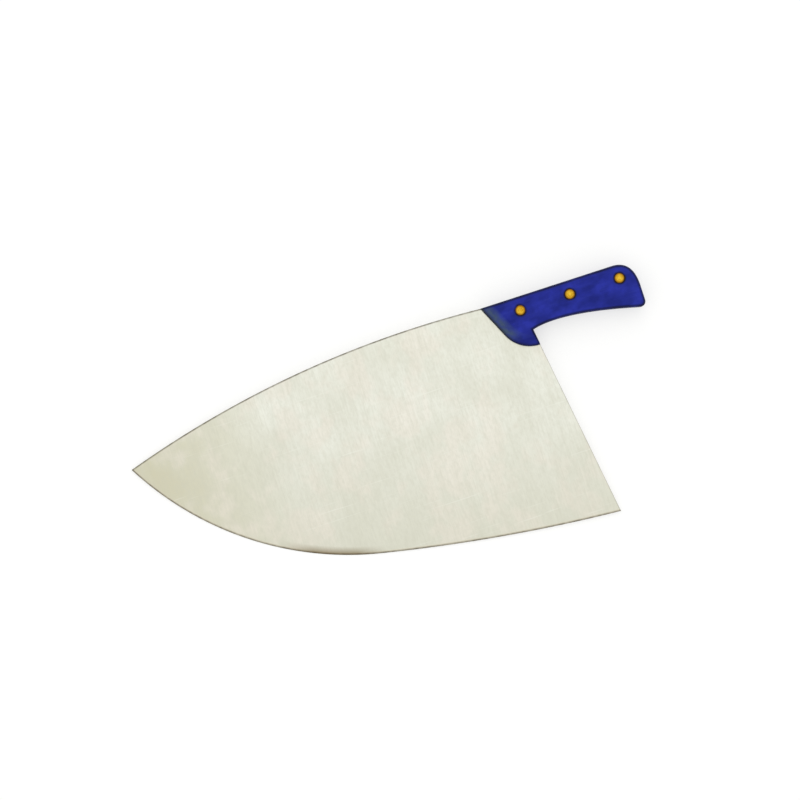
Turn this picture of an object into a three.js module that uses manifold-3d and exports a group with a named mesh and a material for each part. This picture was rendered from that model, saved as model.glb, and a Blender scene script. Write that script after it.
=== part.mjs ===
// Fish knife: a broad taper-ground blade with a full tang, held between two handle scales by three
// two-piece cutler's rivets. Millimetres. The knife lies on its right side: +X runs to the butt, +Y to
// the spine and +Z up. Every shape is drawn with the handle's top front corner at X = Y = 0 and the
// middle of the steel at Z = 0, and the group at the end sets the part's origin under its middle.

import * as THREE from 'three';
import { mergeVertices, toCreasedNormals } from 'three/addons/utils/BufferGeometryUtils.js';
import Module from 'manifold-3d';

const { degToRad } = THREE.MathUtils;

// Blade outline
const BLADE_LENGTH = 300; // handle front to tip, along the spine
const SPINE_RADIUS = 815; // long arc of the spine, from the handle front to the tip
const TIP_DROP = 35.8; // tip below the line of the handle's top
const HEEL_DEPTH = 185.5; // heel corner below that line
const HEEL_OVERLAP = 56.4; // heel corner behind the handle front
const HEEL_RAKE = degToRad(7.9); // lean of the heel, back under the handle
const EDGE_RISE = degToRad(3.9); // slope of the cutting edge at the heel
const EDGE_RADIUS = 1339; // long curve of the cutting edge
const BELLY_RADIUS = 250.6; // tighter curve of the cutting edge, up to the tip

// Blade section
const SHEET = 3; // steel at the tang and under the handle
const TIP_THICKNESS = 1.2; // spine just behind the tip
const BEVEL_WIDTH = 2; // sharpened bevel, square to the edge
const BEVEL_THICKNESS = 0.8; // blade where the bevel starts
const SPINE_EASE = 0.4; // chamfer along both sides of the spine
const FLAT_AHEAD = 12; // unground steel ahead of the handle, along the spine
const FLAT_BELOW = 22; // unground steel below the guard, along the heel
const TIP_CAP = 4; // last stretch of spine, where all faces run to one point

// Handle outline, shared by the tang and both scales
const HANDLE_LENGTH = 125.3; // front to butt
const FRONT_SLANT = degToRad(25); // lean of the handle front
const GUARD_DEPTH = 41.2; // lowest point of the finger guard below the handle's top
const GUARD_RADIUS = 26; // round lower front of the guard
const NOTCH_DEPTH = 28.5; // handle where the heel meets its underside
const WAIST_SETBACK = 59.9; // pull of the underside's curve, behind the handle front
const WAIST_DEPTH = 21.6; // pull of the underside's curve, below the top
const BUTT_DEPTH = 37.6; // lowest point of the butt's beak below the top
const BEAK_RADIUS = 4.3; // round lower corner of the butt
const BUTT_ROUND_RUN = 17.1; // butt's rounded shoulder, along the top
const BUTT_ROUND_DROP = 21.5; // butt's rounded shoulder, down the rear

// Scales
const SCALE_THICKNESS = 7.5;
const SCALE_ROUND = 3; // rounding of the outer edges
const FRONT_BEVEL = 6; // sloped front, at 45 degrees

// Rivets
const RIVET_SETBACK = 29.4; // front rivet behind the handle front
const RIVET_FROM_BUTT = 14.2; // rear rivet ahead of the butt
const RIVET_DEPTH = 10.9; // rivet line below the top
const HEAD_DIAMETER = 8;
const HEAD_HEIGHT = 2.4;
const HEAD_EASE = 0.25; // chamfer round the head
const SLEEVE_DIAMETER = 5;
const PIN_DIAMETER = 3;
const RIVET_FIT = 0.1; // clearance round heads, sleeves and pins
const SLEEVE_GAP = 0.5; // room left below the sleeve when the rivet is driven home

// Fineness of the curves
const FLAT_STATIONS = 6;
const GRIND_STATIONS = 46;
const OUTLINE_STEPS = 10;
const ROUND_STEPS = 5;
const RIVET_SIDES = 32;
const WELD = 1e-4; // vertices closer than this are one
const CREASE = degToRad(30); // faces that meet more sharply keep a crisp edge
const MITRE_ROOM = 1.6; // rounding widths kept free of curve points next to a sharp corner

const wasm = await Module();
wasm.setup();

const halfSheet = SHEET / 2;
const outerFace = halfSheet + SCALE_THICKNESS;
const point = (x, y) => new THREE.Vector2(x, y);
const onCircle = (centre, radius, angle) => (
  point(Math.cos(angle), Math.sin(angle)).multiplyScalar(radius).add(centre)
);

/** Closed solid of a geometry, without the triangles that welding flattens to a line. */
function solidOf(geometry) {
  const bare = geometry.clone();
  bare.deleteAttribute('normal');
  bare.deleteAttribute('uv');
  const welded = mergeVertices(bare, WELD);
  const corners = welded.index.array;
  const kept = [];
  for (let i = 0; i < corners.length; i += 3) {
    const triangle = Array.from(corners.slice(i, i + 3));
    if (new Set(triangle).size === 3) kept.push(...triangle);
  }
  return new wasm.Manifold(new wasm.Mesh({
    numProp: 3,
    vertProperties: welded.attributes.position.array,
    triVerts: new Uint32Array(kept),
  }));
}

/** Geometry of a finished solid, with smooth curves and crisp edges. */
function geometryOf(solid) {
  const { vertProperties, triVerts } = solid.getMesh();
  const geometry = new THREE.BufferGeometry();
  geometry.setAttribute('position', new THREE.BufferAttribute(vertProperties, 3));
  geometry.setIndex(new THREE.BufferAttribute(triVerts, 1));
  return toCreasedNormals(geometry, CREASE);
}

/** Revolve a profile of [radius, height] points round Z. */
function revolve(profile) {
  const points = profile.map(([radius, height]) => point(radius, height));
  return new THREE.LatheGeometry(points, RIVET_SIDES).rotateX(Math.PI / 2);
}

// Rear edge of the blade: a straight line from the handle's top down to the heel corner.
const heelAt = (y) => HEEL_OVERLAP - (HEEL_DEPTH + y) * Math.tan(HEEL_RAKE);
const tip = point(-BLADE_LENGTH, -TIP_DROP);
const heel = point(HEEL_OVERLAP, -HEEL_DEPTH);

// The spine's arc has the handle front and the tip as the ends of a chord, and its centre below them.
const spineSpan = tip.length();
const toSpineCentre = point(-tip.y, tip.x).setLength(Math.sqrt(SPINE_RADIUS ** 2 - spineSpan ** 2 / 4));
const spineCentre = tip.clone().divideScalar(2).add(toSpineCentre);
const spineRise = spineCentre.x < 0 ? spineCentre.y + SPINE_RADIUS : 0;

/** Spine from above the heel to the tip: straight under the handle, then one long arc. */
function spinePath() {
  const start = spineCentre.clone().negate().angle();
  const end = tip.clone().sub(spineCentre).angle();
  const path = new THREE.Path();
  path.moveTo(heelAt(0), 0);
  path.lineTo(0, 0);
  path.absarc(spineCentre.x, spineCentre.y, SPINE_RADIUS, start, end, false);
  return path;
}

/** Cutting edge from the heel to the tip: two tangent arcs, the long one first. */
function edgePath() {
  const heelAngle = -Math.PI / 2 - EDGE_RISE;
  const longCentre = onCircle(heel, EDGE_RADIUS, heelAngle + Math.PI);
  // The belly's centre lies BELLY_RADIUS from the tip and on a radius of the long arc.
  const toTip = tip.clone().sub(longCentre);
  const span = toTip.length();
  const offset = EDGE_RADIUS - BELLY_RADIUS;
  const along = (span ** 2 + offset ** 2 - BELLY_RADIUS ** 2) / (2 * span);
  const swing = Math.acos(along / offset);
  const join = toTip.angle() + swing;
  const bellyCentre = onCircle(longCentre, offset, join);
  const tipAngle = tip.clone().sub(bellyCentre).angle();
  const path = new THREE.Path();
  path.absarc(longCentre.x, longCentre.y, EDGE_RADIUS, heelAngle, join, true);
  path.absarc(bellyCentre.x, bellyCentre.y, BELLY_RADIUS, join, tipAngle, true);
  return path;
}

/** Where the line from a to b crosses the line from c to d, as a share of a to b. */
function crossing(a, b, c, d) {
  const along = b.clone().sub(a);
  const other = d.clone().sub(c);
  return c.clone().sub(a).cross(other) / along.cross(other);
}

/** Surface through rings of equal length, closed by a flat first ring and a single last point. */
function loft(rings, last) {
  const size = rings[0].length;
  const corners = [];
  rings.slice(1).forEach((_, row) => {
    for (let i = 0; i < size; i += 1) {
      const a = row * size + i;
      const b = row * size + ((i + 1) % size);
      corners.push(a, b, b + size, a, b + size, a + size);
    }
  });
  const end = rings.length * size;
  for (let i = 0; i < size; i += 1) {
    corners.push(end - size + i, end - size + ((i + 1) % size), end);
  }
  for (let i = 1; i < size - 1; i += 1) corners.push(0, i + 1, i);
  const places = [...rings.flat(), last].flatMap((place) => place.toArray());
  const geometry = new THREE.BufferGeometry();
  geometry.setAttribute('position', new THREE.Float32BufferAttribute(places, 3));
  geometry.setIndex(corners);
  return geometry;
}

/**
 * Ground blade: sections from spine to edge, set out from the heel to the tip. Round the handle the
 * steel keeps its full thickness down to a straight shoulder line, and from there, or from the spine
 * ahead of it, each flank runs flat to the bevel. The spine thins evenly towards the tip.
 */
function groundBlade() {
  const spine = spinePath();
  const edge = edgePath();
  const spineLength = spine.getLength();
  const flatShare = (heelAt(0) + FLAT_AHEAD) / spineLength;
  const flatAtSpine = spine.getPoint(flatShare);
  const flatDepth = GUARD_DEPTH + FLAT_BELOW;
  const flatAtHeel = point(heelAt(-flatDepth), -flatDepth);
  const capShare = 1 - TIP_CAP / spineLength;

  const sectionAt = (share) => {
    const top = spine.getPoint(share);
    const apex = edge.getPoint(share);
    const down = apex.clone().sub(top).normalize();
    const reach = top.distanceTo(apex);
    const ground = Math.max(0, (share - flatShare) / (capShare - flatShare));
    const half = THREE.MathUtils.lerp(SHEET, TIP_THICKNESS, ground) / 2;
    const isUnground = share < flatShare;
    const ease = isUnground ? 0 : SPINE_EASE;
    const shoulder = isUnground ? crossing(top, apex, flatAtSpine, flatAtHeel) * reach : ease;
    const bevel = BEVEL_WIDTH / Math.abs(down.cross(edge.getTangent(share)));
    const at = (depth, z) => new THREE.Vector3(top.x + down.x * depth, top.y + down.y * depth, z);
    const flank = (side) => [
      at(0, side * (half - ease)),
      at(ease, side * half),
      at(shoulder, side * half),
      at(reach - bevel, side * BEVEL_THICKNESS / 2),
    ];
    return [...flank(-1), at(reach, 0), ...flank(1).reverse()];
  };

  const rings = [];
  for (let i = 0; i < FLAT_STATIONS; i += 1) {
    rings.push(sectionAt(flatShare * i / FLAT_STATIONS));
  }
  for (let i = 0; i <= GRIND_STATIONS; i += 1) {
    rings.push(sectionAt(THREE.MathUtils.lerp(flatShare, capShare, i / GRIND_STATIONS)));
  }
  return loft(rings, new THREE.Vector3(tip.x, tip.y, 0));
}

// Round lower front of the guard: tangent to the slanted front and to the guard's lowest level.
const guardCentre = point(0, GUARD_RADIUS - GUARD_DEPTH);
guardCentre.x = (GUARD_RADIUS - guardCentre.y * Math.sin(FRONT_SLANT)) / Math.cos(FRONT_SLANT);
const guardStart = Math.PI + FRONT_SLANT;
const guardLowest = 1.5 * Math.PI;
const frontEnd = onCircle(guardCentre, GUARD_RADIUS, guardStart);
const notch = point(heelAt(-NOTCH_DEPTH), -NOTCH_DEPTH);

// Round beak of the butt: the underside's last direction touches it where its arc starts.
const waist = point(WAIST_SETBACK, -WAIST_DEPTH);
const beakCentre = point(HANDLE_LENGTH - BEAK_RADIUS, BEAK_RADIUS - BUTT_DEPTH);
const toBeak = beakCentre.clone().sub(waist);
const beakStart = toBeak.angle() - Math.asin(BEAK_RADIUS / toBeak.length()) - Math.PI / 2;
const undersideEnd = onCircle(beakCentre, BEAK_RADIUS, beakStart);

/** Corner where the guard's lower front meets the heel, and the arc's angle there. */
function guardCorner() {
  const inset = (heelAt(guardCentre.y) - guardCentre.x) * Math.cos(HEEL_RAKE) / GUARD_RADIUS;
  const meets = HEEL_RAKE + 2 * Math.PI - Math.acos(inset);
  if (meets > guardLowest) {
    return { angle: guardLowest, corner: point(heelAt(-GUARD_DEPTH), -GUARD_DEPTH) };
  }
  return { angle: meets, corner: onCircle(guardCentre, GUARD_RADIUS, meets) };
}

/** Handle outline, from the top front corner down the front and round to the top again. */
function handleOutline() {
  const front = point(0, 0);
  const { angle, corner } = guardCorner();
  const drawn = new THREE.Shape();
  drawn.moveTo(front.x, front.y);
  drawn.lineTo(frontEnd.x, frontEnd.y);
  drawn.absarc(guardCentre.x, guardCentre.y, GUARD_RADIUS, guardStart, angle, false);
  drawn.lineTo(corner.x, corner.y);
  drawn.lineTo(notch.x, notch.y);
  drawn.quadraticCurveTo(waist.x, waist.y, undersideEnd.x, undersideEnd.y);
  drawn.absarc(beakCentre.x, beakCentre.y, BEAK_RADIUS, beakStart, 2 * Math.PI, false);
  drawn.lineTo(HANDLE_LENGTH, -BUTT_ROUND_DROP);
  drawn.quadraticCurveTo(HANDLE_LENGTH, 0, HANDLE_LENGTH - BUTT_ROUND_RUN, 0);
  // Curve points give way next to a sharp corner, where the rounding of the edge is mitred.
  const sharp = [front, corner, notch];
  const mitre = MITRE_ROOM * SCALE_ROUND;
  const isKept = (place) => sharp.every((end) => place.equals(end) || place.distanceTo(end) > mitre);
  return new THREE.Shape(drawn.getPoints(OUTLINE_STEPS).filter(isKept));
}

/** Blade and tang in one piece of steel, with the rivet holes. */
function bladeSolid(outline, rivetPlaces) {
  const tang = new THREE.ExtrudeGeometry(outline, { depth: SHEET, bevelEnabled: false });
  const holeRadius = SLEEVE_DIAMETER / 2 + RIVET_FIT;
  const drill = revolve([[0, -SHEET], [holeRadius, -SHEET], [holeRadius, SHEET], [0, SHEET]]);
  let steel = solidOf(groundBlade()).add(solidOf(tang.translate(0, 0, -halfSheet)));
  for (const { x, y } of rivetPlaces) {
    steel = steel.subtract(solidOf(drill.clone().translate(x, y, 0)));
  }
  return steel;
}

/** Block that slopes at 45 degrees along the handle front only and stands clear of its other sides. */
function frontSlope() {
  const clear = 3 * FRONT_BEVEL;
  const drawn = new THREE.Shape();
  drawn.moveTo(-clear * Math.tan(FRONT_SLANT), clear);
  drawn.lineTo(frontEnd.x, frontEnd.y);
  drawn.absarc(guardCentre.x, guardCentre.y, GUARD_RADIUS, guardStart, guardLowest, false);
  drawn.lineTo(guardCentre.x + clear, -GUARD_DEPTH);
  drawn.lineTo(HANDLE_LENGTH + clear, -GUARD_DEPTH - BUTT_DEPTH);
  drawn.lineTo(HANDLE_LENGTH + clear, clear);
  const depth = 2 * (outerFace - FRONT_BEVEL);
  return new THREE.ExtrudeGeometry(drawn, {
    depth,
    curveSegments: OUTLINE_STEPS,
    bevelThickness: FRONT_BEVEL,
    bevelSize: FRONT_BEVEL,
    bevelOffset: -FRONT_BEVEL,
    bevelSegments: 1,
  }).translate(0, 0, -depth / 2);
}

/** One scale: side 1 lies above the tang and side -1 below it. */
function scaleSolid(outline, rivetPlaces, side) {
  const depth = 2 * (outerFace - SCALE_ROUND);
  const slab = new THREE.ExtrudeGeometry(outline, {
    depth,
    bevelThickness: SCALE_ROUND,
    bevelSize: SCALE_ROUND,
    bevelOffset: -SCALE_ROUND,
    bevelSegments: ROUND_STEPS,
  }).translate(0, 0, -depth / 2);
  const room = 4 * HANDLE_LENGTH;
  const oneSide = new THREE.BoxGeometry(room, room, 2 * SCALE_THICKNESS);
  oneSide.translate(0, 0, side * (halfSheet + SCALE_THICKNESS));
  const sleeveHole = SLEEVE_DIAMETER / 2 + RIVET_FIT;
  const headHole = HEAD_DIAMETER / 2 + RIVET_FIT;
  const headSeat = outerFace - HEAD_HEIGHT;
  const stepDrill = revolve([
    [0, 0],
    [sleeveHole, 0],
    [sleeveHole, headSeat],
    [headHole, headSeat],
    [headHole, 2 * outerFace],
    [0, 2 * outerFace],
  ]);
  if (side < 0) stepDrill.rotateX(Math.PI);
  let scale = solidOf(slab).intersect(solidOf(frontSlope())).intersect(solidOf(oneSide));
  for (const { x, y } of rivetPlaces) {
    scale = scale.subtract(solidOf(stepDrill.clone().translate(x, y, 0)));
  }
  return scale;
}

/** Headed tube of a rivet, bored right through, with its head in the upper scale. */
function rivetSleeve() {
  const bore = PIN_DIAMETER / 2 + RIVET_FIT;
  const tube = SLEEVE_DIAMETER / 2;
  const head = HEAD_DIAMETER / 2;
  const seat = outerFace - HEAD_HEIGHT;
  const foot = SLEEVE_GAP - seat;
  return revolve([
    [bore, foot],
    [tube, foot],
    [tube, seat],
    [head, seat],
    [head, outerFace - HEAD_EASE],
    [head - HEAD_EASE, outerFace],
    [bore, outerFace],
    [bore, foot],
  ]);
}

/** Headed pin of a rivet, from the lower scale to the upper face of the sleeve's head. */
function rivetPin() {
  const pin = PIN_DIAMETER / 2;
  const head = HEAD_DIAMETER / 2;
  return revolve([
    [0, -outerFace],
    [head - HEAD_EASE, -outerFace],
    [head, HEAD_EASE - outerFace],
    [head, HEAD_HEIGHT - outerFace],
    [pin, HEAD_HEIGHT - outerFace],
    [pin, outerFace],
    [0, outerFace],
  ]);
}

const steel = new THREE.MeshStandardMaterial({ color: 0xdfe0d4, roughness: 0.38, metalness: 0.9 });
const bluePolymer = new THREE.MeshStandardMaterial({ color: 0x252e8a, roughness: 0.45, metalness: 0 });
const brass = new THREE.MeshStandardMaterial({ color: 0xe0a526, roughness: 0.3, metalness: 1 });

/** Named mesh of one piece. */
function piece(name, geometry, material) {
  const mesh = new THREE.Mesh(geometry, material);
  mesh.name = name;
  return mesh;
}

const outline = handleOutline();
const rivetNames = ['front', 'middle', 'rear'];
const rivetPitch = (HANDLE_LENGTH - RIVET_SETBACK - RIVET_FROM_BUTT) / (rivetNames.length - 1);
const rivetPlaces = rivetNames.map((_, i) => point(RIVET_SETBACK + i * rivetPitch, -RIVET_DEPTH));

const knife = new THREE.Group();
knife.add(piece('blade', geometryOf(bladeSolid(outline, rivetPlaces)), steel));
knife.add(piece('left_handle_scale', geometryOf(scaleSolid(outline, rivetPlaces, 1)), bluePolymer));
knife.add(piece('right_handle_scale', geometryOf(scaleSolid(outline, rivetPlaces, -1)), bluePolymer));
rivetNames.forEach((name, i) => {
  const rivet = new THREE.Group();
  rivet.position.set(rivetPlaces[i].x, rivetPlaces[i].y, 0);
  rivet.add(piece(`${name}_rivet_sleeve`, rivetSleeve(), brass));
  rivet.add(piece(`${name}_rivet_pin`, rivetPin(), brass));
  knife.add(rivet);
});

// Origin under the middle of the part's box, at the height of the lower scale's outer face.
knife.position.set((BLADE_LENGTH - HANDLE_LENGTH) / 2, (HEEL_DEPTH - spineRise) / 2, outerFace);

export default knife;
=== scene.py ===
import math

import bpy
import numpy as np
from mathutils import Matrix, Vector


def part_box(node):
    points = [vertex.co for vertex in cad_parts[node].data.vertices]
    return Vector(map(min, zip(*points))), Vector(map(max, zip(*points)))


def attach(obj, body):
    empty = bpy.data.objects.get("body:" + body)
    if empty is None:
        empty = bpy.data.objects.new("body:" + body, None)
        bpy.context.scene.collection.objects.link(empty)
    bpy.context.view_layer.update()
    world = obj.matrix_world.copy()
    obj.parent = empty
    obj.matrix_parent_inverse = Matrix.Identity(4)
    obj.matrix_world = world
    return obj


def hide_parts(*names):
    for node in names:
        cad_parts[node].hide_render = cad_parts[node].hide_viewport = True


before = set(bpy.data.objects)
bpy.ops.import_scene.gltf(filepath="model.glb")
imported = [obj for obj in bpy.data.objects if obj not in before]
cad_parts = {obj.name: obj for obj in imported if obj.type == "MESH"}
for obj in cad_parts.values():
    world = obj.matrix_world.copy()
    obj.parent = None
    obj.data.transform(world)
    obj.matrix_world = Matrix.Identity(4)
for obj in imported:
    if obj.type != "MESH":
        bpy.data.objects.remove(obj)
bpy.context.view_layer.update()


# Blade and tang
# One sheet of stainless steel, cut to its outline and drilled for three rivets. Both flanks are ground
# from the spine to a narrow sharpened bevel, and the tang keeps its full thickness and carries the handle.

BLADE_LENGTH = 0.300  # handle front to tip, along the spine
SPINE_RADIUS = 0.815  # long arc of the spine, from the handle front to the tip
TIP_DROP = 0.0358  # tip below the handle's top
HEEL_DEPTH = 0.1855  # heel corner below the handle's top
HEEL_OVERLAP = 0.0564  # heel corner behind the handle front
HEEL_RAKE = math.radians(7.9)  # of the heel, from square to the spine
EDGE_RISE = math.radians(3.9)  # slope of the cutting edge at the heel, up towards the tip
EDGE_RADIUS = 1.339
BELLY_RADIUS = 0.2506
SHEET = 0.003
TIP_THICKNESS = 0.0012
BEVEL_WIDTH = 0.002
BEVEL_THICKNESS = 0.0008
BEVEL_SHARE = 0.35  # widest that the bevel gets near the tip, as a share of the section
SPINE_EASE = 0.0006
EASE_SHARE = 0.1  # and widest that the spine's rounding gets there
HEEL_EASE = 0.0004
HEEL_EASE_RUN = 0.003  # stretch below the notch over which the heel's rounding grows
FLAT_AHEAD = 0.012  # unground steel ahead of the handle, along the spine
FLAT_BELOW = 0.0632  # unground steel along the heel, down from the handle's top
TIP_CAP = 0.004  # last stretch of spine, where all faces run to one point
HANDLE_LENGTH = 0.1253
NOTCH_DEPTH = 0.0285  # handle where the heel meets its underside
WAIST = np.array([0.0599, -0.0216])  # pull of the underside's curve
BUTT_DEPTH = 0.0376  # lowest point of the butt, below the handle's top
BEAK_RADIUS = 0.0043  # round lower corner of the butt
BUTT_ROUND_RUN = 0.0171  # round upper corner of the butt, along the top and down the rear
BUTT_ROUND_DROP = 0.0215
RIVET_COUNT = 3
RIVET_SETBACK = 0.0294  # front rivet behind the handle front
RIVET_FROM_BUTT = 0.0142  # rear rivet ahead of the butt
RIVET_DEPTH = 0.0109
SLEEVE_HOLE_RADIUS = 0.0026

STATIONS = 230  # heel to tip
CAP_STATIONS = 8
EASE_ROWS = 4
TANG_ROWS = 32  # spine to notch
FLANK_ROWS = 28  # notch to bevel
TANG_STATIONS = 70
PATH_STEPS = 500
ROUND_SIDES = 96
WELD = 1e-7  # points closer than this are one
BEVEL_CREASE = math.radians(8)

STEEL_PLAIN = (0.7585, 0.7601, 0.6619, 1)
STEEL_BRIGHT = (0.86, 0.87, 0.79, 1)
STEEL_EDGE_SHADE = (0.715, 0.713, 0.607, 1)
STEEL_WARM = (0.64, 0.615, 0.455, 1)
STEEL_SHADED = (0.61, 0.605, 0.50, 1)
STEEL_ROSY = (0.86, 0.79, 0.70, 1)
BEVEL_PALE = (0.76, 0.71, 0.57, 1)
BELLY_BROWN = (0.27, 0.21, 0.12, 1)
RIM_LINE_SHADE = (0.10, 0.078, 0.045, 1)
RIM_DULL_AND_SHADE = (0.40, 0.385, 0.33, 1)
EDGE_SHADE_REACH = 0.100  # painted shade: steel grows darker from here to the edge
WARM_FROM = -0.095  # steel grows warmer from here to the tip, along X
WARM_TO = -0.195
PALE_FROM = 1.1 * BEVEL_WIDTH  # pale bevel, in from the edge
PALE_FULL = 0.8 * BEVEL_WIDTH
BELLY_MIDDLE = -0.080  # brown, darker stretch of the edge, along X
BELLY_HALF = 0.040
BELLY_FULL = 0.016  # half of the stretch that is brownest
BELLY_REACH = 0.0065  # and in from the edge
EDGE_DARK_REACH = 0.0017  # painted shade: dark lines beside the rims
SPINE_DARK_REACH = 0.0015
HEEL_DARK_REACH = 0.0009
LINE_CORE = 0.3  # darkest part of a line, as a share of its reach
NOISE_RANGE = (0.3, 0.7)  # nearly all values of a noise lie between these
STEEL_ROUGHNESS = (0.30, 0.42)
STEEL_RELIEF = 0.00002


def arc(centre, radius, start, end):
    """Points on a circle: the centre plus radius times cosine and sine of an angle from start to end."""
    angle = np.linspace(start, end, PATH_STEPS)
    return centre + radius * np.stack([np.cos(angle), np.sin(angle)], -1)


def line(start, end):
    """Points evenly spaced from start to end."""
    return np.linspace(start, end, PATH_STEPS)


def bow(start, pull, end):
    """Quadratic curve: (1-t)^2 start + 2t(1-t) pull + t^2 end."""
    t = np.linspace(0, 1, PATH_STEPS)[:, None]
    return (1 - t) ** 2 * start + 2 * t * (1 - t) * pull + t ** 2 * end


def path_through(*stretches):
    """Path of several stretches: its points, the length run at each, and the unit direction there."""
    points = np.concatenate([stretches[0], *(stretch[1:] for stretch in stretches[1:])])
    run = np.concatenate([[0.0], np.cumsum(np.hypot(*np.diff(points, axis=0).T))])
    heading = np.gradient(points, run, axis=0)
    return points, run, heading / np.linalg.norm(heading, axis=1, keepdims=True)


def along(path, length):
    """Point and direction of a path at a length; past both ends it goes on straight."""
    points, run, heading = path
    held = np.clip(length, 0, run[-1])
    place = np.stack([np.interp(held, run, axis) for axis in points.T], -1)
    direction = np.stack([np.interp(held, run, axis) for axis in heading.T], -1)
    return place + (length - held)[..., None] * direction, direction


def cross(a, b):
    """Cross product of flat vectors: ax by - ay bx."""
    return a[..., 0] * b[..., 1] - a[..., 1] * b[..., 0]


def raised(flat, height):
    """Points in space: flat points with a height as their third coordinate."""
    return np.concatenate([flat, np.broadcast_to(height, flat.shape[:-1])[..., None]], -1)


def heel_x(y):
    """Rear edge of the blade: a straight line through the heel corner, leaning by the rake."""
    return HEEL_OVERLAP - (HEEL_DEPTH + y) * math.tan(HEEL_RAKE)


tip = np.array([-BLADE_LENGTH, -TIP_DROP])
heel = np.array([HEEL_OVERLAP, -HEEL_DEPTH])
notch = np.array([heel_x(-NOTCH_DEPTH), -NOTCH_DEPTH])
butt_top = np.array([HANDLE_LENGTH - BUTT_ROUND_RUN, 0.0])
butt_rear = np.array([HANDLE_LENGTH, -BUTT_ROUND_DROP])
butt_pull = np.array([HANDLE_LENGTH, 0.0])
rivet_places = np.stack([
    np.linspace(RIVET_SETBACK, HANDLE_LENGTH - RIVET_FROM_BUTT, RIVET_COUNT),
    np.full(RIVET_COUNT, -RIVET_DEPTH),
], -1)

# Spine: straight under the handle, then one long arc whose chord runs from the handle front to the tip.
half_span = np.hypot(*tip) / 2
chord_normal = np.array([-tip[1], tip[0]]) / (2 * half_span)
spine_centre = tip / 2 + chord_normal * math.sqrt(SPINE_RADIUS ** 2 - half_span ** 2)
spine_start = math.atan2(-spine_centre[1], -spine_centre[0])
spine_end = math.atan2(tip[1] - spine_centre[1], tip[0] - spine_centre[0])
spine = path_through(
    line(np.array([heel_x(0), 0.0]), np.zeros(2)),
    arc(spine_centre, SPINE_RADIUS, spine_start, spine_end),
)

# Cutting edge: a long arc from the heel, then a tighter one inside it and tangent to it, up to the tip.
edge_start = -math.pi / 2 - EDGE_RISE
edge_centre = heel - EDGE_RADIUS * np.array([math.cos(edge_start), math.sin(edge_start)])
to_tip = tip - edge_centre
span = np.hypot(*to_tip)
offset = EDGE_RADIUS - BELLY_RADIUS
swing = math.acos((span ** 2 + offset ** 2 - BELLY_RADIUS ** 2) / (2 * span * offset))
edge_join = math.atan2(to_tip[1], to_tip[0]) + swing
join_direction = np.array([math.cos(edge_join), math.sin(edge_join)])
belly_centre = edge_centre + offset * join_direction
belly_end = math.atan2(*(tip - belly_centre)[::-1])
edge = path_through(
    arc(edge_centre, EDGE_RADIUS, edge_start, edge_join),
    arc(belly_centre, BELLY_RADIUS, edge_join, belly_end),
)

# Tang behind the heel: a waisted underside that runs into a round beak, and a butt that is rounded above.
beak_centre = np.array([HANDLE_LENGTH - BEAK_RADIUS, BEAK_RADIUS - BUTT_DEPTH])
to_beak = beak_centre - WAIST
beak_lean = math.atan2(to_beak[1], to_beak[0]) - math.asin(BEAK_RADIUS / np.hypot(*to_beak))
beak = arc(beak_centre, BEAK_RADIUS, beak_lean - math.pi / 2, 0)
underside = bow(notch, WAIST, beak[0])
butt_line = line(beak[-1], butt_rear)
butt_shoulder = bow(butt_rear, butt_pull, butt_top)

# Shapes are drawn from the handle's top front corner, in the middle of the steel.
steel_low, steel_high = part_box("blade")
DRAWN_FROM = np.array([
    steel_high.x - HANDLE_LENGTH,
    steel_high.y - spine[0][:, 1].max(),
    (steel_low.z + steel_high.z) / 2,
])


def shell(name, grids, caps=()):
    """Closed mesh from point grids: each cell gives two triangles that face along column times row, each
    cap is one flat face, points at one place become one, and cells that shrink to a line are left out."""
    points = np.concatenate([grid.reshape(-1, 3) for grid in [*grids, *caps]])
    steps = np.round(points / WELD).astype(np.int64)
    _, kept, number = np.unique(steps, axis=0, return_index=True, return_inverse=True)
    number = number.ravel()
    faces = []
    first = 0
    for grid in grids:
        cells = number[first:first + grid[..., 0].size].reshape(grid.shape[:2])
        a, b, c, d = cells[:-1, :-1], cells[:-1, 1:], cells[1:, 1:], cells[1:, :-1]
        halves = np.concatenate([np.stack(half, -1).reshape(-1, 3) for half in ((a, b, c), (a, c, d))])
        faces += halves[(halves != np.roll(halves, 1, axis=1)).all(axis=1)].tolist()
        first += cells.size
    for cap in caps:
        loop = number[first:first + len(cap)]
        faces.append(loop[loop != np.roll(loop, 1)].tolist())
        first += len(cap)
    mesh = bpy.data.meshes.new(name)
    mesh.from_pydata(points[kept] + DRAWN_FROM, [], faces)
    piece = bpy.data.objects.new(name, mesh)
    bpy.context.collection.objects.link(piece)
    return piece


def lathe(profile, centre):
    """Surface of revolution: each (radius, height) of the profile, turned about an upright axis at the
    centre."""
    turn = 2 * math.pi * (np.arange(ROUND_SIDES + 1) % ROUND_SIDES) / ROUND_SIDES
    radius, height = np.array(profile).T
    circle = np.stack([np.cos(turn), np.sin(turn)], -1)
    return raised(centre + radius[:, None, None] * circle, height[:, None])


def drilled(piece, cutters):
    """Takes closed cutter surfaces out of a piece and keeps what is left as its mesh."""
    drill = shell("drill", cutters)
    cut = piece.modifiers.new("holes", "BOOLEAN")
    cut.operation = "DIFFERENCE"
    cut.solver = "EXACT"
    cut.object = drill
    graph = bpy.context.evaluated_depsgraph_get()
    whole = piece.data
    piece.data = bpy.data.meshes.new_from_object(piece.evaluated_get(graph))
    piece.modifiers.clear()
    bpy.data.objects.remove(drill)
    bpy.data.meshes.remove(whole)


def crease(piece, angle):
    """Smooth shading that stays crisp where faces meet at more than the angle."""
    piece.data.shade_smooth()
    piece.data.set_sharp_from_angle(angle=angle)


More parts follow.
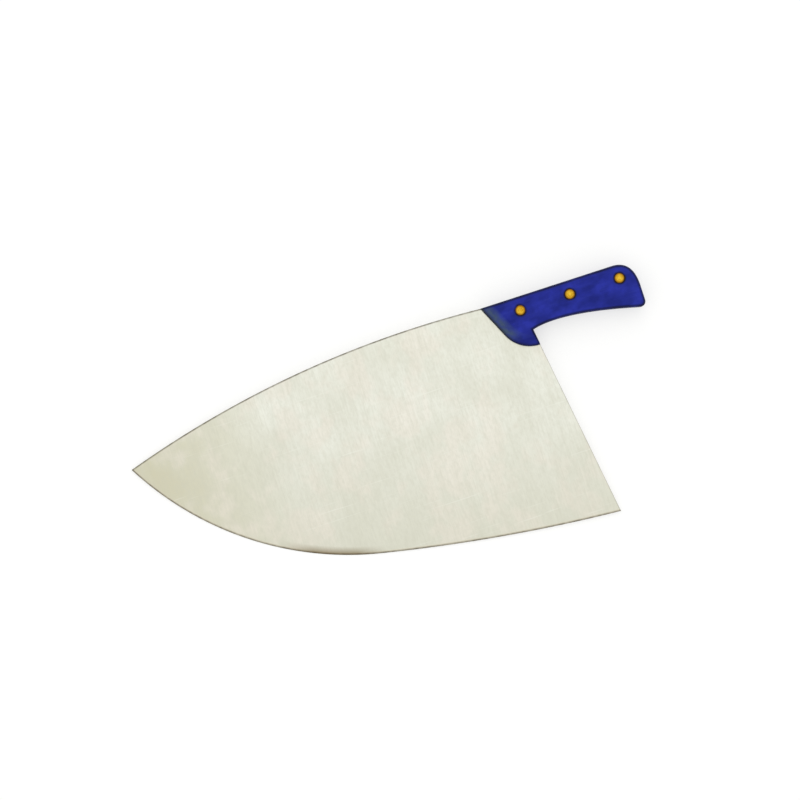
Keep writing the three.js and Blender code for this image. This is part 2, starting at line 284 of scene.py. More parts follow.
def painted(piece, name, value_of):
    """Puts a value of each point's flat place into an attribute that the material reads."""
    corners = np.empty(3 * len(piece.data.vertices))
    piece.data.vertices.foreach_get("co", corners)
    flat = (corners.reshape(-1, 3) - DRAWN_FROM)[:, :2]
    piece.data.attributes.new(name, "FLOAT", "POINT").data.foreach_set("value", value_of(flat))


def ground_sections():
    """Blade sections from heel to tip, each a ring of points round the steel. A section runs straight from
    spine to edge. Its half thickness stays full down to the shoulder and then falls evenly to the bevel,
    which closes on the edge. Past the cap all heights shrink evenly to the tip."""
    length = spine[1][-1]
    flat_share = (heel_x(0) + FLAT_AHEAD) / length
    cap_share = 1 - TIP_CAP / length
    turn = np.linspace(0, math.pi / 2, EASE_ROWS)
    heel_share = HEEL_EASE / length
    share = np.concatenate([
        heel_share * (1 - np.cos(turn)),
        np.linspace(heel_share, cap_share, STATIONS, endpoint=False)[1:],
        np.linspace(cap_share, 1, CAP_STATIONS),
    ])[:, None]
    top, _ = along(spine, share * length)
    apex, heading = along(edge, share * edge[1][-1])
    reach = np.maximum(np.linalg.norm(apex - top, axis=-1), WELD)
    down = (apex - top) / reach[..., None]
    squareness = np.maximum(np.abs(cross(down, heading)), WELD)
    bevel = np.minimum(BEVEL_WIDTH / squareness, BEVEL_SHARE * reach)
    ground = np.clip((share - flat_share) / (cap_share - flat_share), 0, 1)
    half = (SHEET + (TIP_THICKNESS - SHEET) * ground) / 2
    ease = np.minimum(SPINE_EASE * np.clip(share / flat_share, 0, 1), EASE_SHARE * reach)

    # The shoulder crosses each section of the unground corner, and beyond it lies at the spine.
    flat_ahead, _ = along(spine, np.array(flat_share * length))
    shoulder_line = np.array([heel_x(-FLAT_BELOW), -FLAT_BELOW]) - flat_ahead
    crossing = cross(flat_ahead - top, shoulder_line) / cross(down, shoulder_line)
    shoulder = np.where(share < flat_share, crossing, ease)

    to_notch = np.linspace(0, 1, TANG_ROWS + 1)[1:]
    to_bevel = np.linspace(0, 1, FLANK_ROWS + 1)[1:]
    notch_depth = reach * NOTCH_DEPTH / HEEL_DEPTH
    depth = np.concatenate([
        ease * (1 - np.cos(turn)),
        ease + (notch_depth - ease) * to_notch,
        notch_depth + (reach - bevel - notch_depth) * to_bevel,
    ], -1)
    fall = np.clip((depth - shoulder) / (reach - bevel - shoulder), 0, 1)
    height = half + (BEVEL_THICKNESS / 2 - half) * fall
    height[:, :EASE_ROWS] = half - ease * (1 - np.sin(turn))
    height *= np.clip((1 - share) / (1 - cap_share), 0, 1)

    # The heel is eased too, from the notch down, where no handle covers it.
    bare = np.clip((depth[:EASE_ROWS] - notch_depth[:EASE_ROWS]) / HEEL_EASE_RUN, 0, 1)
    heel_ease = np.minimum(HEEL_EASE * bare, BEVEL_SHARE * height[:EASE_ROWS])
    height[:EASE_ROWS] -= heel_ease * (1 - np.sin(turn))[:, None]
    flat = top + down * depth[..., None]
    upper = raised(flat, height)
    lower = raised(flat, -height)
    ring = np.concatenate([lower, raised(apex, 0), upper[:, ::-1], lower[:, :1]], 1)
    return ring, lower, upper, raised(apex, 0)


def tang_sections():
    """Tang as a patch between its four sides, from the heel line to the butt: the blend of top and
    underside plus the blend of heel line and butt, less the blend of the four corners."""
    u = np.linspace(0, 1, TANG_STATIONS)[:, None]
    v = np.linspace(0, 1, TANG_ROWS + 1)[None, :]

    def side(path, share):
        """Point at a share of a side's length."""
        return along(path, share * path[1][-1])[0]

    corner = np.array([heel_x(0), 0.0])
    top = side(path_through(line(corner, butt_top)), u)
    under = side(path_through(underside), u)
    front = side(path_through(line(corner, notch)), v)
    rear = side(path_through(butt_shoulder[::-1], butt_line[::-1], beak[::-1]), v)
    u, v = u[..., None], v[..., None]
    flat = (1 - v) * top + v * under + (1 - u) * front + u * rear
    flat = flat - (1 - u) * ((1 - v) * corner + v * notch) - u * ((1 - v) * butt_top + v * beak[0])
    upper = raised(flat, SHEET / 2)
    lower = raised(flat, -SHEET / 2)
    return np.concatenate([upper, lower[:, ::-1], upper[:, :1]], 1), lower[-1], upper[-1]


def edge_distance(flat):
    """Distance in from the cutting edge: radius less distance from the arc's centre, for the arc on whose
    side of the join a point lies."""
    is_belly = cross(join_direction, flat - edge_centre) < 0
    centre = np.where(is_belly[:, None], belly_centre, edge_centre)
    radius = np.where(is_belly, BELLY_RADIUS, EDGE_RADIUS)
    return radius - np.linalg.norm(flat - centre, axis=1)


def heel_distance(flat):
    """Distance in from the heel: how far a point lies ahead of the heel's line, square to it."""
    x, y = flat.T
    return (heel_x(y) - x) * math.cos(HEEL_RAKE)


def spine_distance(flat):
    """Distance in from the spine: radius less distance from the arc's centre, or depth under the handle.
    It is nought on the tang, of which only the rim shows."""
    x, y = flat.T
    from_arc = SPINE_RADIUS - np.linalg.norm(flat - spine_centre, axis=1)
    on_tang = (heel_distance(flat) < 0) & (y > -BUTT_DEPTH)
    return np.where(on_tang, 0, np.where(x < 0, from_arc, -y))


def blank_material(name):
    """New material and its node tree."""
    material = bpy.data.materials.new(name)
    material.use_nodes = True
    return material, material.node_tree


def node(tree, kind, inputs, **settings):
    """New shader node with its settings, and each input set to a value or joined to another's output."""
    made = tree.nodes.new("ShaderNode" + kind)
    for name, value in settings.items():
        setattr(made, name, value)
    for name, value in inputs.items():
        if isinstance(value, bpy.types.NodeSocket):
            tree.links.new(value, made.inputs[name])
        else:
            made.inputs[name].default_value = value
    return made


def attribute(tree, name):
    """Value that was painted on the piece under a name."""
    return node(tree, "Attribute", {}, attribute_name=name).outputs["Fac"]


def position(tree):
    """Object coordinates, by their letters."""
    return node(tree, "SeparateXYZ", {0: node(tree, "TexCoord", {}).outputs["Object"]}).outputs


def noise(tree, stretch, scale, detail):
    """Noise on Object coordinates that are scaled by the stretch along each axis."""
    place = node(tree, "TexCoord", {}).outputs["Object"]
    drawn = node(tree, "Mapping", {"Vector": place, "Scale": stretch}).outputs["Vector"]
    return node(tree, "TexNoise", {"Vector": drawn, "Scale": scale, "Detail": detail}).outputs["Fac"]


def worked(tree, operation, first, second=0.0):
    """Value worked out from one or two others, such as their product."""
    return node(tree, "Math", {0: first, 1: second}, operation=operation).outputs[0]


def ranged(tree, value, low, high, at_low=0.0, at_high=1.0):
    """Value that goes from at_low to at_high while another goes from low to high, and is held beyond."""
    inputs = {"Value": value, "From Min": low, "From Max": high, "To Min": at_low, "To Max": at_high}
    return node(tree, "MapRange", inputs).outputs["Result"]


def blended(tree, share, first, second):
    """Colour that goes from the first to the second as the share goes from 0 to 1."""
    return node(tree, "Mix", {0: share, 6: first, 7: second}, data_type="RGBA").outputs[2]


def coated(tree, under, tint, pattern, faint, full, most=1.0, uneven=None):
    """Colour with a tint over it: none where the pattern is at faint, the most where it is at full, and
    all of it times an uneven share if there is one."""
    share = ranged(tree, pattern, faint, full, at_high=most)
    if uneven is not None:
        share = worked(tree, "MULTIPLY", share, uneven)
    return blended(tree, share, under, tint)


def surfaced(tree, colour, wear, roughness, relief, depth, strength):
    """Gives the shader its colour, a roughness that goes between two values with the wear, and a bump from
    the relief, and returns it."""
    shader = tree.nodes["Principled BSDF"]
    bump = node(tree, "Bump", {"Height": relief, "Distance": depth, "Strength": strength})
    tree.links.new(colour, shader.inputs["Base Color"])
    tree.links.new(ranged(tree, wear, *NOISE_RANGE, *roughness), shader.inputs["Roughness"])
    tree.links.new(bump.outputs["Normal"], shader.inputs["Normal"])
    return shader


def ground_steel():
    """Satin steel: faint grinding marks from spine to edge over bands, specks, clouds and rosy tints, and a
    few scratches along the blade. It grows darker towards the edge, which is painted shade, warmer towards
    the tip, pale on the bevel and brown at the belly, with broken dark lines of painted shade beside the
    rims. The cut rims are plain and dull, and their darker colour is partly painted shade."""
    material, tree = blank_material("ground_steel")
    marks = noise(tree, stretch=(1, 0.02, 0.02), scale=1400, detail=3)
    bands = noise(tree, stretch=(1, 0.06, 0.06), scale=190, detail=2)
    clouds = noise(tree, stretch=(1, 1, 1), scale=26, detail=4)
    tints = noise(tree, stretch=(1, 0.8, 1), scale=48, detail=3)
    specks = noise(tree, stretch=(1, 0.45, 0.45), scale=560, detail=3)
    breaks = noise(tree, stretch=(1, 1, 1), scale=240, detail=6)
    scratches = noise(tree, stretch=(0.03, 1, 1), scale=620, detail=2)
    lengthwise = position(tree)["X"]
    from_edge = attribute(tree, "edge_distance")
    from_spine = attribute(tree, "spine_distance")
    from_heel = attribute(tree, "heel_distance")

    colour = coated(tree, STEEL_PLAIN, STEEL_BRIGHT, clouds, *NOISE_RANGE)
    # Painted shade: the steel grows darker towards the edge.
    colour = coated(tree, colour, STEEL_EDGE_SHADE, from_edge, EDGE_SHADE_REACH, 0)
    patchy = ranged(tree, tints, low=0.35, high=0.6, at_low=1, at_high=0.65)
    colour = coated(tree, colour, STEEL_WARM, lengthwise, WARM_FROM, WARM_TO, most=0.95, uneven=patchy)
    colour = coated(tree, colour, STEEL_ROSY, tints, faint=0.48, full=0.62, most=0.4)
    colour = coated(tree, colour, STEEL_SHADED, specks, faint=0.4, full=0.7, most=0.3)
    colour = coated(tree, colour, STEEL_SHADED, bands, faint=0.4, full=0.7, most=0.17)
    colour = coated(tree, colour, STEEL_SHADED, marks, faint=0.45, full=0.8, most=0.22)
    colour = coated(tree, colour, STEEL_BRIGHT, scratches, faint=0.64, full=0.78, most=0.5)

    colour = coated(tree, colour, BEVEL_PALE, from_edge, PALE_FROM, PALE_FULL, most=0.6)
    off_belly = worked(tree, "ABSOLUTE", worked(tree, "SUBTRACT", lengthwise, BELLY_MIDDLE))
    at_belly = ranged(tree, off_belly, BELLY_HALF, BELLY_FULL)
    colour = coated(tree, colour, BELLY_BROWN, from_edge, BELLY_REACH, 0, uneven=at_belly)
    # Painted shade: broken dark lines beside the edge, the spine and the heel.
    broken = ranged(tree, breaks, low=0.3, high=0.65, at_low=0.6)
    for from_rim, reach, most in (
        (from_edge, EDGE_DARK_REACH, 0.9),
        (from_spine, SPINE_DARK_REACH, 0.95),
        (from_heel, HEEL_DARK_REACH, 0.3),
    ):
        colour = coated(tree, colour, RIM_LINE_SHADE, from_rim, reach, LINE_CORE * reach, most, broken)
    # Faces that turn sideways, the cut rims, are darker: partly their plain dull finish, partly painted
    # shade.
    facing = node(tree, "SeparateXYZ", {0: node(tree, "NewGeometry", {}).outputs["True Normal"]})
    flatness = worked(tree, "ABSOLUTE", facing.outputs["Z"])
    rim_marks = ranged(tree, scratches, low=0.4, high=0.6, at_low=0.75)
    colour = coated(tree, colour, RIM_DULL_AND_SHADE, flatness, faint=0.5, full=0.2, uneven=rim_marks)
    shader = surfaced(tree, colour, marks, STEEL_ROUGHNESS, marks, STEEL_RELIEF, strength=0.25)
    shader.inputs["Metallic"].default_value = 1
    return material


blade_ring, blade_lower, blade_upper, blade_apex = ground_sections()
tang_ring, butt_lower, butt_upper = tang_sections()
below_notch = slice(EASE_ROWS + TANG_ROWS - 1, None)
heel_lower = np.concatenate([blade_lower[0, below_notch], blade_apex[0]])
heel_upper = np.concatenate([blade_upper[0, below_notch], blade_apex[0]])
blade = shell("ground_blade", [
    blade_ring,
    np.stack([heel_lower, heel_upper], 1),
    tang_ring,
    np.stack([butt_lower, butt_upper], 1),
])
drilled(blade, [
    lathe([(0, -SHEET), (SLEEVE_HOLE_RADIUS, -SHEET), (SLEEVE_HOLE_RADIUS, SHEET), (0, SHEET)], place)
    for place in rivet_places
])
crease(blade, BEVEL_CREASE)
painted(blade, "edge_distance", edge_distance)
painted(blade, "spine_distance", spine_distance)
painted(blade, "heel_distance", heel_distance)
blade.data.materials.clear()
blade.data.materials.append(ground_steel())
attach(blade, "root")
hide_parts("blade")


# Handle scales
# Two slabs of blue polymer, one on each side of the tang and flush with it. Their outer edges are
# rounded over, the front slopes down to the blade, and stepped holes take the rivets that clamp them.

FRONT_SLANT = math.radians(25)  # of the handle front, from square to the spine
GUARD_DEPTH = 0.0412  # lowest point of the round guard, below the handle's top
GUARD_RADIUS = 0.026
SCALE_THICKNESS = 0.0075
SCALE_ROUND = 0.003
FRONT_BEVEL = 0.006  # sloped front, as far in as it goes down
FRONT_ANGLE = math.radians(45)
HEAD_HEIGHT = 0.0024
HEAD_HOLE_RADIUS = 0.0041
ROUND_ROWS = 13
FACE_MARGIN = 0.0004  # flat border inside the rounding
FRONT_POINTS = 90
HEEL_POINTS = 24
BACK_POINTS = 330
MITRE_ROUNDS = 14
SCALE_CREASE = math.radians(32)

BLUE = (0.0065, 0.0135, 0.205, 1)
BLUE_LIGHT = (0.0175, 0.0280, 0.355, 1)
BLUE_WORN = (0.030, 0.050, 0.30, 1)
BLUE_PAINTED_LIGHT = (0.055, 0.089, 0.170, 1)
BLUE_PAINTED_SHADE = (0.003, 0.0045, 0.045, 1)
SLATE_PAINTED_SHADE = (0.018, 0.024, 0.032, 1)
RING_PAINTED_SHADE = (0.010, 0.006, 0.009, 1)
LIT_SLOPE_FROM = 0.0095  # painted light: paler front, in from the blade
LIT_SLOPE_FULL = 0.0040
LIT_SLOPE_FOOT = -0.030  # and down to here
LIT_SLOPE_FADE = 0.004
ROUND_SHADE_FROM = 0.00003  # painted shade on the rounded edges and walls, down from the outer face
ROUND_SHADE_FULL = 0.0004
SIDE_SHADE_FROM = 0.0024  # painted shade beside the front, in from the top and the heel
SIDE_SHADE_FULL = 0.00096
BLADE_SHADE_FROM = 0.0026  # painted shade along the front, in from the blade
BLADE_SHADE_FULL = 0.00052
RING_SHADE_FROM = 0.0057  # painted shade round the rivets, out from their axes
RING_SHADE_FULL = 0.00458
POLYMER_ROUGHNESS = (0.55, 0.40)
POLYMER_RELIEF = 0.00003
POLYMER_SPECULAR = 0.14

outer_face = SHEET / 2 + SCALE_THICKNESS
guard_centre = np.array([0.0, GUARD_RADIUS - GUARD_DEPTH])
guard_centre[0] = (GUARD_RADIUS - guard_centre[1] * math.sin(FRONT_SLANT)) / math.cos(FRONT_SLANT)


def handle_sides():
    """The three sides of the handle's outline between its sharp corners, counter-clockwise: front and
    guard, heel, and all the rest from the underside round to the top."""
    corner = np.zeros(2)
    to_heel = (heel_x(guard_centre[1]) - guard_centre[0]) * math.cos(HEEL_RAKE)
    at_heel = HEEL_RAKE + 2 * math.pi - math.acos(to_heel / GUARD_RADIUS)
    at_lowest = 1.5 * math.pi
    guard = arc(guard_centre, GUARD_RADIUS, math.pi + FRONT_SLANT, min(at_heel, at_lowest))
    guard_corner = np.array([heel_x(guard[-1, 1]), guard[-1, 1]])
    return [
        path_through(line(corner, guard[0]), guard, line(guard[-1], guard_corner)),
        path_through(line(guard_corner, notch)),
        path_through(underside, beak, butt_line, butt_shoulder, line(butt_top, corner)),
    ]


def inward(path, length, inset):
    """Point on a path moved square to it, to its left, by the inset; and the path's direction there."""
    place, heading = along(path, length)
    left = np.stack([-heading[..., 1], heading[..., 0]], -1)
    return place + inset[..., None] * left, heading


def mitre(first, first_inset, second, second_inset):
    """Lengths at which two inset sides meet near their common corner, by Newton's steps: both are
    followed along their directions to where these cross."""
    end = np.full(len(first_inset), first[1][-1])
    start = np.zeros(len(second_inset))
    for _ in range(MITRE_ROUNDS):
        a, a_heading = inward(first, end, first_inset)
        b, b_heading = inward(second, start, second_inset)
        turn = cross(a_heading, b_heading)
        end = end + cross(b - a, b_heading) / turn
        start = start + cross(b - a, a_heading) / turn
    return end, start


def scale_shell(name, side):
    """Scale as rings of points stacked outwards from the tang: each side of the outline is set in by its
    own profile, a quarter round or the sloped front, and neighbours are mitred."""
    turn = np.linspace(0, math.pi / 2, ROUND_ROWS)
    wall = np.array([SHEET / 2, outer_face - FRONT_BEVEL])
    height = np.concatenate([wall, outer_face - SCALE_ROUND * (1 - np.sin(turn)), [outer_face]])
    rounded = np.concatenate([[0, 0], SCALE_ROUND * (1 - np.cos(turn)), [SCALE_ROUND + FACE_MARGIN]])

    # The front goes in as it goes up, and its top runs into the outer face by an arc tangent to both.
    straight = FRONT_BEVEL - SCALE_ROUND * (1 - np.sin(turn))
    softened = FRONT_BEVEL + SCALE_ROUND * (math.tan(FRONT_ANGLE / 2) - np.cos(turn))
    front = np.where(turn > FRONT_ANGLE, softened, straight)
    sloped = np.concatenate([[0, 0], front, [front[-1] + FACE_MARGIN]])

    sides = handle_sides()
    insets = [sloped, rounded, rounded]
    corners = [mitre(sides[i - 1], insets[i - 1], sides[i], insets[i]) for i in range(len(sides))]
    starts = [start for _, start in corners]
    ends = [end for end, _ in corners[1:] + corners[:1]]
    counts = [FRONT_POINTS, HEEL_POINTS, BACK_POINTS]
    rings = []
    for path, inset, start, end, count in zip(sides, insets, starts, ends, counts):
        share = np.linspace(0, 1, count)[None, :]
        length = start[:, None] + (end - start)[:, None] * share
        rings.append(inward(path, length, np.repeat(inset[:, None], count, 1))[0])
    grid = raised(np.concatenate(rings, 1), side * height[:, None])
    if side > 0:
        return shell(name, [grid], [grid[0, ::-1], grid[-1]])
    return shell(name, [grid[:, ::-1]], [grid[0], grid[-1, ::-1]])


def stepped_drill(place, side):
    """Cutter for one rivet hole: a narrow bore for the sleeve and a wide one for the head."""
    seat = outer_face - HEAD_HEIGHT
    profile = [
        (0, 0),
        (SLEEVE_HOLE_RADIUS, 0),
        (SLEEVE_HOLE_RADIUS, seat),
        (HEAD_HOLE_RADIUS, seat),
        (HEAD_HOLE_RADIUS, 2 * outer_face),
        (0, 2 * outer_face),
    ]
    if side > 0:
        return lathe(profile, place)
    return lathe([(radius, -height) for radius, height in reversed(profile)], place)


def front_distance(flat):
    """Distance in from the handle front: from its slanted line, then radius less distance from the centre
    of the guard's arc, and behind that centre distance from the arc's end."""
    out = -np.array([math.cos(FRONT_SLANT), math.sin(FRONT_SLANT)])
    from_centre = flat - guard_centre
    past_line = cross(out, from_centre) > 0
    past_arc = from_centre[:, 0] > 0
    round_guard = GUARD_RADIUS - np.linalg.norm(from_centre, axis=1)
    from_end = np.hypot(from_centre[:, 0], from_centre[:, 1] + GUARD_RADIUS)
    return np.select([past_arc, past_line], [from_end, round_guard], -flat @ out)


def side_distance(flat):
    """Distance in from the sides that meet the front: depth under the handle's top, or on the guard the
    distance from the heel."""
    depth = -flat[:, 1]
    from_heel = heel_distance(flat)
    on_guard = (depth > NOTCH_DEPTH) & (from_heel > -SCALE_ROUND)
    return np.where(on_guard, from_heel, depth)


def blue_polymer():
    """Satin blue polymer: clouds in the colour, a fine moulded grain and long rubbing marks along the
    handle. The sloped front is painted paler, as painted light. Painted shade darkens the rounded edges,
    both ends of the front, the line where it meets the blade, and a ring round each rivet."""
    material, tree = blank_material("blue_polymer")
    clouds = noise(tree, stretch=(1, 1.6, 1), scale=60, detail=4)
    patches = noise(tree, stretch=(1, 1, 1), scale=210, detail=3)
    rubbing = noise(tree, stretch=(0.03, 1, 1), scale=1500, detail=2)
    grain = noise(tree, stretch=(1, 1, 1), scale=2600, detail=2)
    from_front = attribute(tree, "front_distance")
    from_side = attribute(tree, "side_distance")
    place = position(tree)
    height = worked(tree, "ABSOLUTE", worked(tree, "SUBTRACT", place["Z"], DRAWN_FROM[2]))

    colour = coated(tree, BLUE, BLUE_LIGHT, clouds, faint=0.38, full=0.64)
    colour = coated(tree, colour, BLUE, patches, faint=0.45, full=0.7, most=0.45)
    colour = coated(tree, colour, BLUE_WORN, rubbing, faint=0.55, full=0.8, most=0.3)
    # Painted light: the sloped front is painted paler, in patches, down to its foot.
    patchy = ranged(tree, patches, low=0.3, high=0.6, at_low=0.45)
    foot = DRAWN_FROM[1] + LIT_SLOPE_FOOT
    above_foot = ranged(tree, place["Y"], foot - LIT_SLOPE_FADE, foot + LIT_SLOPE_FADE)
    lit_share = worked(tree, "MULTIPLY", patchy, above_foot)
    colour = coated(tree, colour, BLUE_PAINTED_LIGHT, from_front, LIT_SLOPE_FROM, LIT_SLOPE_FULL, uneven=lit_share)

    # Painted shade on the rounded edges and walls, and beside both ends of the front.
    low = ranged(tree, height, outer_face - ROUND_SHADE_FROM, outer_face - ROUND_SHADE_FULL)
    off_front = ranged(tree, from_front, FRONT_BEVEL, FRONT_BEVEL + SCALE_ROUND)
    by_side = ranged(tree, from_side, SIDE_SHADE_FROM, SIDE_SHADE_FULL)
    shaded_edges = worked(tree, "MAXIMUM", worked(tree, "MULTIPLY", low, off_front), by_side)
    cloudy = ranged(tree, clouds, low=0.42, high=0.66, at_low=0.93, at_high=0.7)
    colour = blended(tree, worked(tree, "MULTIPLY", shaded_edges, cloudy), colour, BLUE_PAINTED_SHADE)
    # Painted shade: a dark line along the front where it meets the blade.
    dark = blended(tree, above_foot, BLUE_PAINTED_SHADE, SLATE_PAINTED_SHADE)
    colour = coated(tree, colour, dark, from_front, BLADE_SHADE_FROM, BLADE_SHADE_FULL, most=0.95)
    # Painted shade: a dark ring on the scale round each rivet head.
    level = node(tree, "CombineXYZ", {0: place["X"], 1: place["Y"]}).outputs[0]
    for axis in rivet_places + DRAWN_FROM[:2]:
        apart = node(tree, "VectorMath", {0: level, 1: (*axis, 0)}, operation="DISTANCE").outputs["Value"]
        colour = coated(tree, colour, RING_PAINTED_SHADE, apart, RING_SHADE_FROM, RING_SHADE_FULL, uneven=patchy)
    shader = surfaced(tree, colour, rubbing, POLYMER_ROUGHNESS, grain, POLYMER_RELIEF, strength=0.3)
    shader.inputs["Specular IOR Level"].default_value = POLYMER_SPECULAR
    return material


polymer = blue_polymer()
for name, node_name, side in (
    ("left_scale", "left_handle_scale", 1),
    ("right_scale", "right_handle_scale", -1),
):
    scale = scale_shell(name, side)
    drilled(scale, [stepped_drill(place, side) for place in rivet_places])
    crease(scale, SCALE_CREASE)
    painted(scale, "front_distance", front_distance)
    painted(scale, "side_distance", side_distance)
    scale.data.materials.clear()
    scale.data.materials.append(polymer)
    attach(scale, "root")
    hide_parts(node_name)


# Rivets
# Three two-piece cutler's rivets of brass. A headed sleeve comes through from the left and a headed pin is
# driven into it from the right, and both heads are ground flush with the scales.

HEAD_RADIUS = 0.004
SLEEVE_RADIUS = 0.0025
BORE_RADIUS = 0.0016
PIN_RADIUS = 0.00158
HEAD_EASE = 0.0005
LIP_EASE = 0.00006
EASED_ROWS = 5
SLEEVE_GAP = 0.0005  # room left below the sleeve when the rivet is driven home
RIVET_CREASE = math.radians(40)

BRASS = (0.64, 0.34, 0.014, 1)
BRASS_BRIGHT = (0.85, 0.55, 0.048, 1)
BRASS_TARNISH_AND_SHADE = (0.20, 0.068, 0.008, 1)
RIM_FROM = 0.0020  # tarnish and painted shade towards the rim, out from the axis
RIM_FULL = 0.00375
SEAM_REACH = 0.00024  # tarnish on both sides of the seam between pin and sleeve
BRASS_ROUGHNESS = (0.24, 0.38)
BRASS_RELIEF = 0.00002


def eased(radius, height, ease):
    """Quarter round from the side of a head up to its face: radius less ease plus ease times cosine, and
    height less ease plus ease times sine."""
    turn = np.linspace(0, math.pi / 2, EASED_ROWS)
    return list(zip(radius - ease + ease * np.cos(turn), height - ease + ease * np.sin(turn)))


def sleeve_profile():
    """Half section of the headed tube, from the foot of its bore round the outside and back."""
    seat = outer_face - HEAD_HEIGHT
    foot = SLEEVE_GAP - seat
    lip = eased(BORE_RADIUS, outer_face, LIP_EASE)
    inner_lip = [(2 * BORE_RADIUS - radius, height) for radius, height in reversed(lip)]
    return [
        (BORE_RADIUS, foot),
        (SLEEVE_RADIUS, foot),
        (SLEEVE_RADIUS, seat),
        (HEAD_RADIUS, seat),
        *eased(HEAD_RADIUS, outer_face, HEAD_EASE),
        *inner_lip,
        (BORE_RADIUS, foot),
    ]


def pin_profile():
    """Half section of the headed pin, from the middle of its head up to its end."""
    head = [(radius, -height) for radius, height in reversed(eased(HEAD_RADIUS, outer_face, HEAD_EASE))]
    return [
        (0, -outer_face),
        *head,
        (HEAD_RADIUS, HEAD_HEIGHT - outer_face),
        (PIN_RADIUS, HEAD_HEIGHT - outer_face),
        *eased(PIN_RADIUS, outer_face, LIP_EASE),
        (0, outer_face),
    ]


def axis_distance(flat):
    """Distance from the nearest rivet's axis."""
    return np.linalg.norm(flat[:, None] - rivet_places, axis=-1).min(axis=1)


def ground_brass():
    """Brass ground flush along the handle: fine straight marks, a darker colour towards the rim that is
    part tarnish and part painted shade, and tarnish round the pin."""
    material, tree = blank_material("ground_brass")
    marks = noise(tree, stretch=(0.04, 1, 1), scale=3200, detail=2)
    clouds = noise(tree, stretch=(1, 1, 1), scale=420, detail=3)
    from_axis = attribute(tree, "from_axis")
    # Darker towards the rim: part tarnish, part painted shade.
    rim = ranged(tree, from_axis, RIM_FROM, RIM_FULL, at_high=0.95)
    off_seam = worked(tree, "ABSOLUTE", worked(tree, "SUBTRACT", from_axis, BORE_RADIUS))
    seam = ranged(tree, off_seam, SEAM_REACH, 0, at_high=0.5)
    colour = coated(tree, BRASS, BRASS_BRIGHT, clouds, faint=0.35, full=0.65)
    colour = coated(tree, colour, BRASS_TARNISH_AND_SHADE, marks, faint=0.5, full=0.8, most=0.35)
    colour = blended(tree, worked(tree, "MAXIMUM", rim, seam), colour, BRASS_TARNISH_AND_SHADE)
    shader = surfaced(tree, colour, marks, BRASS_ROUGHNESS, marks, BRASS_RELIEF, strength=0.2)
    shader.inputs["Metallic"].default_value = 1
    return material


brass = ground_brass()
for place, rank in zip(rivet_places, ("front", "middle", "rear")):
    for half, profile in (("sleeve", sleeve_profile()), ("pin", pin_profile())):
        rivet = shell(f"{rank}_{half}", [lathe(profile, place)])
        crease(rivet, RIVET_CREASE)
        painted(rivet, "from_axis", axis_distance)
        rivet.data.materials.append(brass)
        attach(rivet, "root")
        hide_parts(f"{rank}_rivet_{half}")


# Floor
# A wide pale light table, which glows softly so that shadows stay faint. The knife lies on its belly and
# on the guard of its lower scale, so the top leans by the small angle that brings it under both.

FLOOR_REACH = 14.0
FLOOR_CLEAR = 0.0002  # gap left under the knife
BELLY_CONTACT = math.radians(25)  # direction of the steepest lean, from the Y axis
FLOOR_COLOUR = (0.45, 0.45, 0.445, 1)
FLOOR_GLOW_COLOUR = (1, 1, 1, 1)
FLOOR_GLOW = 0.60
FLOOR_ROUGHNESS = 0.9
FLOOR_SPECULAR = 0.1

lean = np.array([math.sin(BELLY_CONTACT), math.cos(BELLY_CONTACT)])
bevel_drop = BEVEL_THICKNESS / 2
touching_bevel = belly_centre - (BELLY_RADIUS - BEVEL_WIDTH) * lean
touching_guard = guard_centre - (GUARD_RADIUS - FRONT_BEVEL) * lean
lean_slope = (outer_face - bevel_drop) / ((touching_guard - touching_bevel) @ lean)
square = FLOOR_REACH * np.array([[[-1, -1], [1, -1]], [[-1, 1], [1, 1]]], float)
drop = bevel_drop + (square - touching_bevel) @ lean * lean_slope
floor = shell("table_top", [raised(square, -drop - FLOOR_CLEAR)])
floor_material, floor_tree = blank_material("pale_table")
floor_shader = floor_tree.nodes["Principled BSDF"]
floor_shader.inputs["Base Color"].default_value = FLOOR_COLOUR
floor_shader.inputs["Emission Color"].default_value = FLOOR_GLOW_COLOUR
floor_shader.inputs["Emission Strength"].default_value = FLOOR_GLOW
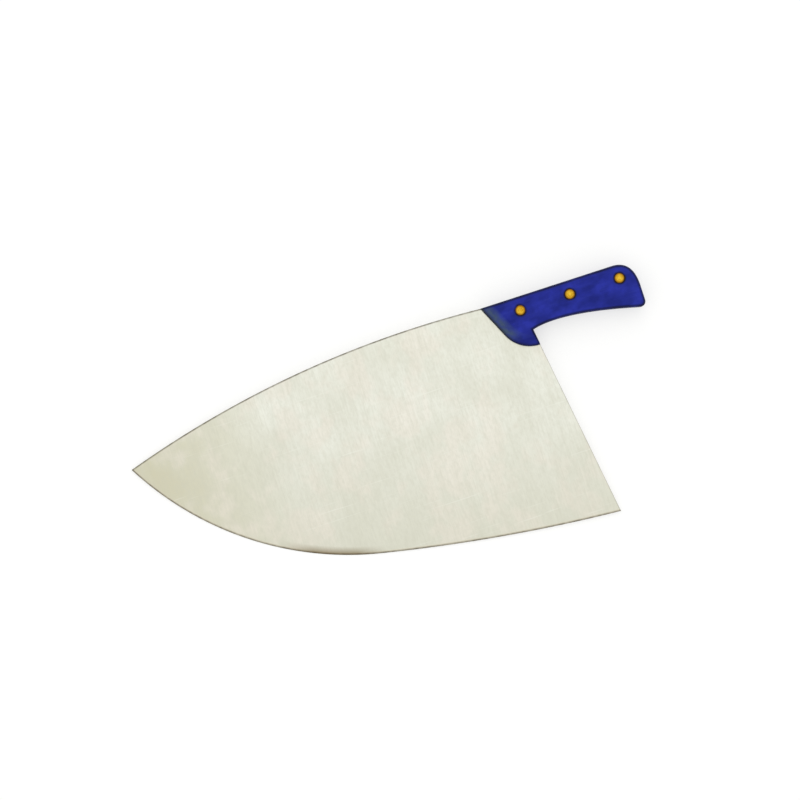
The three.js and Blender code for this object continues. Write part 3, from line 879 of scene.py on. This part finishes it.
floor_shader.inputs["Roughness"].default_value = FLOOR_ROUGHNESS
floor_shader.inputs["Specular IOR Level"].default_value = FLOOR_SPECULAR
floor.data.materials.append(floor_material)


# Light
# A soft studio dome, brightest overhead, and one wide weak lamp from beyond the spine. The lamp is wide so
# that its reflection in the flat blade stays soft.

HORIZON = (0.60, 0.60, 0.61, 1)
ZENITH = (1.0, 1.0, 0.985, 1)
ZENITH_HEIGHT = 0.9  # upward part of the direction where the dome is brightest
LAMP_PLACE = (0.4, 1.3, 1.6)
LAMP_SIZE = 2.4
LAMP_POWER = 4.5

scene = bpy.context.scene
scene.world = bpy.data.worlds.new("studio")
scene.world.use_nodes = True
sky = scene.world.node_tree
direction = node(sky, "SeparateXYZ", {0: node(sky, "TexCoord", {}).outputs["Generated"]})
dome = blended(sky, ranged(sky, direction.outputs["Z"], 0, ZENITH_HEIGHT), HORIZON, ZENITH)
sky.links.new(dome, sky.nodes["Background"].inputs["Color"])

lamp = bpy.data.lights.new("soft_lamp", "AREA")
lamp.size = LAMP_SIZE
lamp.energy = LAMP_POWER
lamp_object = bpy.data.objects.new("soft_lamp", lamp)
lamp_object.location = LAMP_PLACE
lamp_object.rotation_euler = (-Vector(LAMP_PLACE)).to_track_quat("-Z", "Y").to_euler()
bpy.context.collection.objects.link(lamp_object)


# Camera
# Straight above the blade, turned so that the spine rises to the right. A long lens from far off keeps the
# thickness of the handle from showing at its sides.

LENS = 135.0
SENSOR = 36.0
VIEW_WIDTH = 0.6296  # of the frame, in the middle of the steel
VIEW_CENTRE = (-0.0821, -0.0487)
VIEW_TURN = math.radians(-18)

camera_data = bpy.data.cameras.new("camera")
camera_data.lens = LENS
camera_data.sensor_width = SENSOR
camera = bpy.data.objects.new("camera", camera_data)
camera.location = DRAWN_FROM + [*VIEW_CENTRE, VIEW_WIDTH * LENS / SENSOR]
camera.rotation_euler = (0, 0, VIEW_TURN)
bpy.context.collection.objects.link(camera)
scene.camera = camera
scene.view_settings.view_transform = "Standard"
